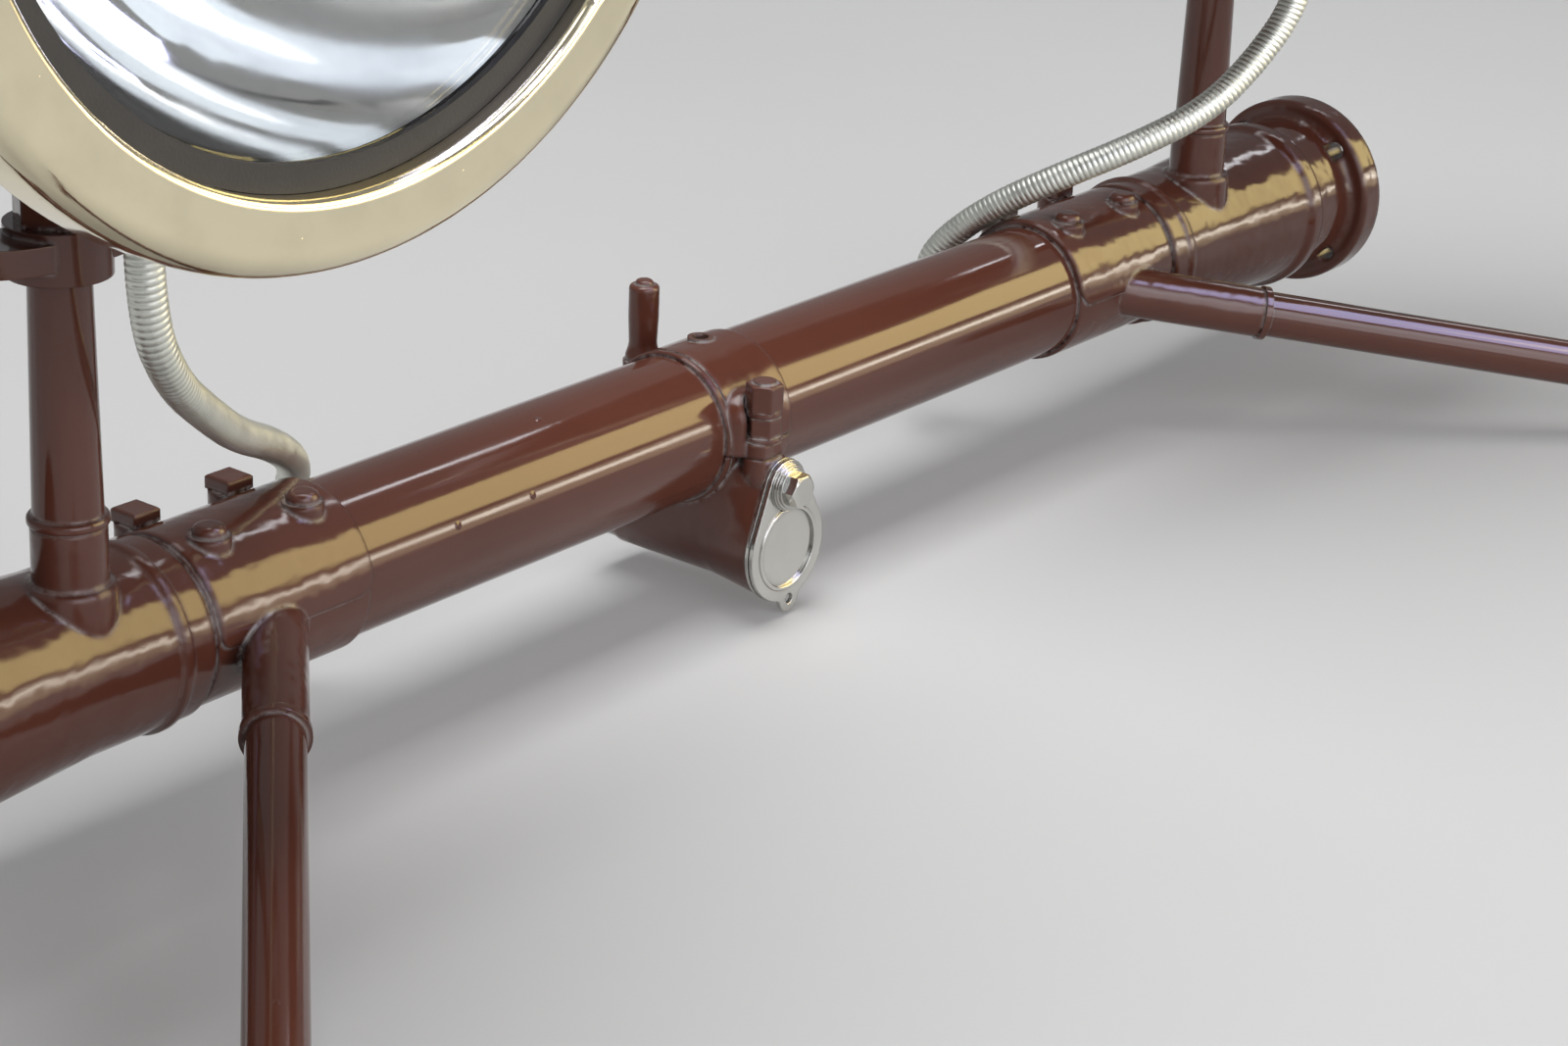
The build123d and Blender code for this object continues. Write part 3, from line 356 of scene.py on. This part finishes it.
def plate(name, color, roughness, scratch, edge_r):
    """Bright plate with fine scratches, a few pits, slight tarnish and shade painted into its corners."""
    shader = Shader(name, Metallic=1.0)
    stain = shader.spread(shader.noise(55.0, 5.0), 0.45, 0.75, 0.0, 0.35)
    dull = scaled(color, TARNISHED)
    color = shader.mix(stain, color, dull)
    # Painted shade: the colour is darkened in corners, where the plate is shut in.
    painted_shade = shader.spread(shader.shut_in(PLATE_SHADE_REACH), 0.3, 0.9, 0.0, 1.0)
    shader.set("Base Color", shader.mix(painted_shade, scaled(dull, PLATE_SHADE), color))
    smear = shader.noise(120.0, 4.0)
    shader.set("Roughness", shader.spread(smear, 0.3, 0.8, roughness, roughness + SMEAR))
    lines = shader.noise(900.0, 2.0, place=shader.stretch((1.0, 1.0, 0.06)))
    normal = shader.bump(lines, scratch, shader.rounded(edge_r))
    normal = shader.bump(shader.specks(260.0, 0.12, 0.05), -PIT_DEPTH, normal)
    shader.set("Normal", normal)
    return shader.material


def rubber(name):
    shader = Shader(name, Roughness=0.55)
    shader.set("Base Color", shader.mix(shader.noise(60.0, 4.0), RUBBER, RUBBER_WORN))
    shader.set("Normal", shader.bump(shader.noise(900.0, 2.0), RUBBER_GRAIN))
    return shader.material


def clear_glass(name, dust):
    """Clear glass with a little dust."""
    shader = Shader(name, Transmission_Weight=1.0, IOR=1.5)
    haze = shader.spread(shader.noise(35.0, 5.0), 0.4, 0.8, 0.0, dust)
    shader.set("Roughness", haze)
    shader.set("Base Color", shader.mix(haze, GLASS, GLASS_DUSTY))
    shader.set("Normal", shader.bump(shader.noise(14.0, 1.0), GLASS_WAVE))
    return shader.material


def mirror_silver(name):
    shader = Shader(name, Metallic=1.0)
    cloud = shader.spread(shader.noise(28.0, 5.0), 0.45, 0.75, 0.0, 1.0)
    shader.set("Base Color", shader.mix(cloud, SILVER, SILVER_DULL))
    shader.set("Roughness", shader.spread(cloud, 0.0, 1.0, 0.04, 0.16))
    shader.set("Normal", shader.bump(shader.noise(18.0, 2.0), MIRROR_WAVE))
    return shader.material


def conduit_steel(name):
    """Dull plated steel, with shade painted down in its ribs."""
    shader = Shader(name, Metallic=1.0)
    color = shader.mix(shader.noise(50.0, 5.0), STEEL, STEEL_PALE)
    # Painted shade: the colour is darkened down in the ribs, where the wall is shut in.
    painted_rib_shade = shader.spread(shader.shut_in(RIB_SHADE_REACH), 0.55, 1.0, 0.0, 1.0)
    shader.set("Base Color", shader.mix(painted_rib_shade, scaled(STEEL, RIB_SHADE_AND_DARK_TONE), color))
    shader.set("Roughness", shader.spread(shader.noise(160.0, 4.0), 0.3, 0.7, 0.36, 0.50))
    shader.set("Normal", shader.bump(shader.noise(1200.0, 2.0), CONDUIT_GRAIN))
    return shader.material


def turned_bronze(name):
    shader = Shader(name, Metallic=1.0)
    shader.set("Base Color", shader.mix(shader.noise(90.0, 4.0), BRONZE, BRONZE_DARK))
    shader.set("Roughness", shader.spread(shader.noise(300.0, 3.0), 0.3, 0.7, 0.25, 0.45))
    lines = shader.noise(700.0, 2.0, place=shader.stretch((1.0, 0.05, 1.0)))
    shader.set("Normal", shader.bump(lines, BRONZE_GRAIN))
    return shader.material


def wire_metal(name, dark, pale):
    shader = Shader(name, Metallic=1.0, Roughness=0.35)
    shader.set("Base Color", shader.mix(shader.noise(900.0, 2.0), dark, pale))
    shader.set("Normal", shader.bump(shader.noise(3000.0, 2.0), WIRE_GRAIN))
    return shader.material


# Each material's name is its slot's, apart from the thick enamel and the bulbs' own two metals
MATERIALS = {
    "enamel": enamel("enamel", lump_height=0.00004, lump_size=0.030, edge_r=0.0007, corner_pale_share=0.6),
    "enamel_cast": enamel("enamel_cast", lump_height=0.00036, lump_size=0.012, edge_r=0.0014, corner_pale_share=0.9),
    "enamel_thick": enamel("enamel_thick", lump_height=0.00080, lump_size=0.016, edge_r=0.0026, corner_pale_share=0.9),
    "bronze": turned_bronze("bronze"),
    "plate": plate("plate", NICKEL, roughness=0.09, scratch=0.00002, edge_r=0.0007),
    "bolt_plate": plate("bolt_plate", NICKEL, roughness=0.14, scratch=0.00003, edge_r=0.0004),
    "lamp_plate": plate("lamp_plate", LAMP_PLATE, roughness=0.06, scratch=0.00001, edge_r=0.0005),
    "rubber": rubber("rubber"),
    "glass": clear_glass("glass", dust=0.06),
    "reflector": mirror_silver("reflector"),
    "bulb": clear_glass("bulb", dust=0.02),
    "conduit_metal": conduit_steel("conduit_metal"),
    "tungsten": wire_metal("tungsten", TUNGSTEN, TUNGSTEN_PALE),
    "cap_brass": wire_metal("cap_brass", scaled(BRASS, RIB_SHADE_AND_DARK_TONE), BRASS),
}

# Nodes whose paint lies thicker than on the rest of their slot
THICK_PAINT = ("end_fitting_left", "end_fitting_right", "bearing_cap", "bearing_bracket")


def dress_nodes():
    """Gives each node of the model the material of its slot in the record."""
    for part in frame["record"]["subparts"]:
        look = "enamel_thick" if part["node"] in THICK_PAINT else part["material_slot"]
        for slot in frame["nodes"][part["node"]].material_slots:
            slot.material = MATERIALS[look]


def mesh_piece(name, vertices, faces, look):
    """A smooth piece that rides on the fixed body."""
    mesh = bpy.data.meshes.new(name)
    mesh.from_pydata([tuple(vertex) for vertex in vertices], [], faces)
    mesh.update()
    for polygon in mesh.polygons:
        polygon.use_smooth = True
    mesh.materials.append(MATERIALS[look])
    piece = bpy.data.objects.new(name, mesh)
    bpy.context.scene.collection.objects.link(piece)
    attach(piece, "root")
    return piece


def route_line(points):
    """The smooth line through a route, read from its NURBS spline."""
    curve = bpy.data.curves.new("route", "CURVE")
    curve.dimensions = "3D"
    spline = curve.splines.new("NURBS")
    spline.points.add(len(points) - 1)
    for target, point in zip(spline.points, points):
        target.co = (*point, 1.0)
    spline.order_u = 3
    spline.use_endpoint_u = True
    spline.resolution_u = LINE_PIECES
    holder = bpy.data.objects.new("route", curve)
    line = bpy.data.meshes.new_from_object(holder)
    places = [vertex.co.copy() for vertex in line.vertices]
    bpy.data.meshes.remove(line)
    bpy.data.objects.remove(holder)
    bpy.data.curves.remove(curve)
    return places


def even_steps(places, step):
    """Points an even step apart along a line, with the distance of each from its start."""
    result = [(0.0, places[0])]
    travelled = 0.0
    due = step
    for start, end in zip(places, places[1:]):
        length = (end - start).length
        while length > 0 and due <= travelled + length:
            result.append((due, start.lerp(end, (due - travelled) / length)))
            due += step
        travelled += length
    return result


def ring_frames(places):
    """At each place, two directions square to the line that don't twist along it."""
    ahead = [(after - before).normalized()
             for before, after in zip([places[0]] + places[:-1], places[1:] + [places[-1]])]
    side = ahead[0].orthogonal().normalized()
    frames = []
    for direction in ahead:
        side = (side - direction * side.dot(direction)).normalized()
        frames.append((side, direction.cross(side)))
    return frames


def tube_faces(rings, sides):
    """The wall between rings of vertices, and a face that closes each end."""
    faces = []
    for ring in range(rings - 1):
        for side in range(sides):
            here = ring * sides + side
            beside = ring * sides + (side + 1) % sides
            faces.append((here, beside, beside + sides, here + sides))
    faces.append(tuple(reversed(range(sides))))
    faces.append(tuple((rings - 1) * sides + side for side in range(sides)))
    return faces


def ribbed_conduit(side):
    """A flexible metal conduit: a tube whose wall is rolled into one fine helical rib."""
    steps = even_steps(route_line(ROUTES[side]), RIB_PITCH / SAMPLES_PER_RIB)
    frames = ring_frames([place for _, place in steps])
    vertices = []
    for (distance, place), (across, upward) in zip(steps, frames):
        for index in range(CONDUIT_SIDES):
            share = index / CONDUIT_SIDES
            angle = 2 * pi * share
            wave = 0.5 - 0.5 * cos(2 * pi * (distance / RIB_PITCH - share))
            radius = CONDUIT_R - RIB_DEPTH * wave ** 2
            vertices.append(place + radius * (cos(angle) * across + sin(angle) * upward))
    faces = tube_faces(len(steps), CONDUIT_SIDES)
    piece = mesh_piece(f"conduit_ribbed_{side}", vertices, faces, "conduit_metal")
    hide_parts(f"conduit_{side}")


def turned_piece(name, centre, profile, look):
    """A piece turned about a line along Y through centre, from (radius, y) points."""
    vertices = []
    for radius, y in profile:
        for index in range(BULB_SEGMENTS):
            angle = 2 * pi * index / BULB_SEGMENTS
            vertices.append((centre.x + radius * cos(angle), y, centre.z + radius * sin(angle)))
    return mesh_piece(name, vertices, tube_faces(len(profile), BULB_SEGMENTS), look)


def wire_piece(name, places, radius, look):
    """A round wire along places."""
    vertices = []
    for place, (across, upward) in zip(places, ring_frames(places)):
        for index in range(WIRE_SIDES):
            angle = 2 * pi * index / WIRE_SIDES
            vertices.append(place + radius * (cos(angle) * across + sin(angle) * upward))
    return mesh_piece(name, vertices, tube_faces(len(places), WIRE_SIDES), look)


def envelope_profile(ball_y, ball_r, neck_r, neck_end):
    """The bulb's outline from its front point round the ball and down its neck."""
    outline = []
    for index in range(1, BALL_STEPS_TO_NECK + 1):
        angle = pi * index / BALL_STEPS
        outline.append((ball_r * sin(angle), ball_y - ball_r * cos(angle)))
    last_r, last_y = outline[-1]
    for share in SHOULDER_SHARES:
        ease = share * share * (3 - 2 * share)
        outline.append((last_r + (neck_r - last_r) * ease, last_y + SHOULDER_LENGTH * share))
    outline.append((neck_r, neck_end))
    return outline


def lamp_bulb(side):
    """A clear bulb in place of the model's plain one: envelope, cap, stem, wires and filament."""
    low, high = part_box(f"lamp_bulb_{side}")
    ball_r = (high.x - low.x) / 2
    ball_y = low.y + ball_r
    centre = Vector(((low.x + high.x) / 2, ball_y, (low.z + high.z) / 2))
    neck_r = NECK_SHARE * ball_r
    neck_end = high.y - CAP_LENGTH
    outer = envelope_profile(ball_y, ball_r, neck_r, neck_end)
    inner = envelope_profile(ball_y, ball_r - BULB_WALL, neck_r - BULB_WALL, neck_end)
    glass = turned_piece(f"bulb_glass_{side}", centre, outer + inner[::-1], "bulb")
    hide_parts(f"lamp_bulb_{side}")
    cap = (
        (CAP_HOLE_R, neck_end - CAP_LIP),
        (neck_r - BULB_WALL, neck_end - CAP_LIP),
        (neck_r, neck_end),
        (neck_r, high.y - CAP_CORNER_START),
        (neck_r - CAP_CORNER_R, high.y - CAP_CONTACT_HEIGHT),
        (CAP_CONTACT_R, high.y),
    )
    turned_piece(f"bulb_cap_{side}", centre, cap, "cap_brass")
    stem = (
        (STEM_TIP_R, ball_y + STEM_TIP),
        (STEM_R, ball_y + STEM_START),
        (STEM_R, neck_end - STEM_FLARE_LENGTH),
        (2 * STEM_R, neck_end - CAP_LIP),
    )
    turned_piece(f"bulb_stem_{side}", centre, stem, "bulb")
    half = FILAMENT_LENGTH / 2
    for index, across in enumerate((-half, half)):
        foot = centre + Vector((across / 4, STEM_START, 0.0))
        knee = centre + Vector((across, WIRE_KNEE, 0.0))
        tip = centre + Vector((across, 0.0, 0.0))
        wire_piece(f"bulb_wire_{side}_{index}", [foot, knee, tip], WIRE_R, "tungsten")
    coil = []
    steps = FILAMENT_TURNS * FILAMENT_STEPS_PER_TURN
    for index in range(steps + 1):
        angle = 2 * pi * FILAMENT_TURNS * index / steps
        x = -half + FILAMENT_LENGTH * index / steps
        coil.append(centre + Vector((x, FILAMENT_R * cos(angle), FILAMENT_R * sin(angle))))
    wire_piece(f"bulb_filament_{side}", coil, FILAMENT_WIRE_R, "tungsten")


def placement(place, ahead, across):
    """Where a camera or light stands that looks ahead from a place, its X axis lying across."""
    ahead = ahead.normalized()
    across = (across - ahead * ahead.dot(across)).normalized()
    turn = Matrix((across, across.cross(ahead), -ahead)).transposed().to_4x4()
    return Matrix.Translation(place) @ turn


def build_camera():
    camera = bpy.data.cameras.new("camera")
    camera.lens = CAMERA_LENS_MM
    camera.sensor_width = CAMERA_FILM_MM
    holder = bpy.data.objects.new("camera", camera)
    holder.matrix_world = placement(CAMERA_AT, CAMERA_AHEAD, CAMERA_RIGHT)
    bpy.context.scene.collection.objects.link(holder)
    bpy.context.scene.camera = holder


def soft_light(name, place, target, size, power, color, along=ALONG_X, in_gloss_only=False):
    """A softbox at place that faces target, its first size lying along a direction."""
    lamp = bpy.data.lights.new(name, "AREA")
    lamp.shape = "RECTANGLE"
    lamp.size, lamp.size_y = size
    lamp.energy = power
    lamp.color = color
    holder = bpy.data.objects.new(name, lamp)
    holder.matrix_world = placement(place, Vector(target) - Vector(place), Vector(along))
    holder.visible_diffuse = not in_gloss_only
    bpy.context.scene.collection.objects.link(holder)


def build_lights():
    for name, place, target, size, watts, color in SOFTBOXES:
        soft_light(name, place, target, size, watts, color)
    for name, place, target, size, watts, color, along in CARDS:
        soft_light(name, place, target, size, watts, color, along, in_gloss_only=True)
    for name, turn, width, start, end, watts, color in STRIPS:
        x = (start + end) / 2
        place = (x, -STRIP_DISTANCE * cos(radians(turn)), STRIP_DISTANCE * sin(radians(turn)))
        soft_light(name, place, (x, 0.0, 0.0), (end - start, width), watts, color, in_gloss_only=True)


def background_share(tree, plain, shown):
    """A strength: plain as light on the object, and shown in the picture, in gloss and in glass."""
    path = tree.nodes.new("ShaderNodeLightPath")
    seen = path.outputs["Is Camera Ray"]
    for name in ("Is Glossy Ray", "Is Transmission Ray"):
        either = tree.nodes.new("ShaderNodeMath")
        either.operation = "MAXIMUM"
        tree.links.new(seen, either.inputs[0])
        tree.links.new(path.outputs[name], either.inputs[1])
        seen = either.outputs["Value"]
    strength = tree.nodes.new("ShaderNodeMapRange")
    strength.inputs["To Min"].default_value = plain
    strength.inputs["To Max"].default_value = shown
    tree.links.new(seen, strength.inputs["Value"])
    return strength.outputs["Result"]


def build_floor():
    middle = (cad_box[0] + cad_box[1]) / 2
    level = cad_box[0].z - FLOOR_DROP
    corners = [(middle.x + x * FLOOR_REACH, middle.y + y * FLOOR_REACH, level)
               for x, y in ((-1, -1), (1, -1), (1, 1), (-1, 1))]
    mesh = bpy.data.meshes.new("floor")
    mesh.from_pydata(corners, [], [(0, 1, 2, 3)])
    shader = Shader("floor", Roughness=0.9, Specular_IOR_Level=0.0)
    shader.set("Base Color", shader.mix(shader.noise(3.0, 3.0), FLOOR, FLOOR_PALE))
    shader.set("Emission Color", WHITE)
    shader.set("Emission Strength", background_share(shader.tree, 0.0, FLOOR_GLOW))
    mesh.materials.append(shader.material)
    floor = bpy.data.objects.new("floor", mesh)
    bpy.context.scene.collection.objects.link(floor)


def build_world():
    world = bpy.data.worlds.new("studio")
    world.use_nodes = True
    background = world.node_tree.nodes["Background"]
    background.inputs["Color"].default_value = SKY
    strength = background_share(world.node_tree, WORLD_LIGHT, WORLD_SHOWN)
    world.node_tree.links.new(strength, background.inputs["Strength"])
    bpy.context.scene.world = world


dress_nodes()
for side in ("left", "right"):
    ribbed_conduit(side)
    lamp_bulb(side)
build_camera()
build_floor()
build_world()
build_lights()
bpy.context.scene.view_settings.view_transform = "Standard"
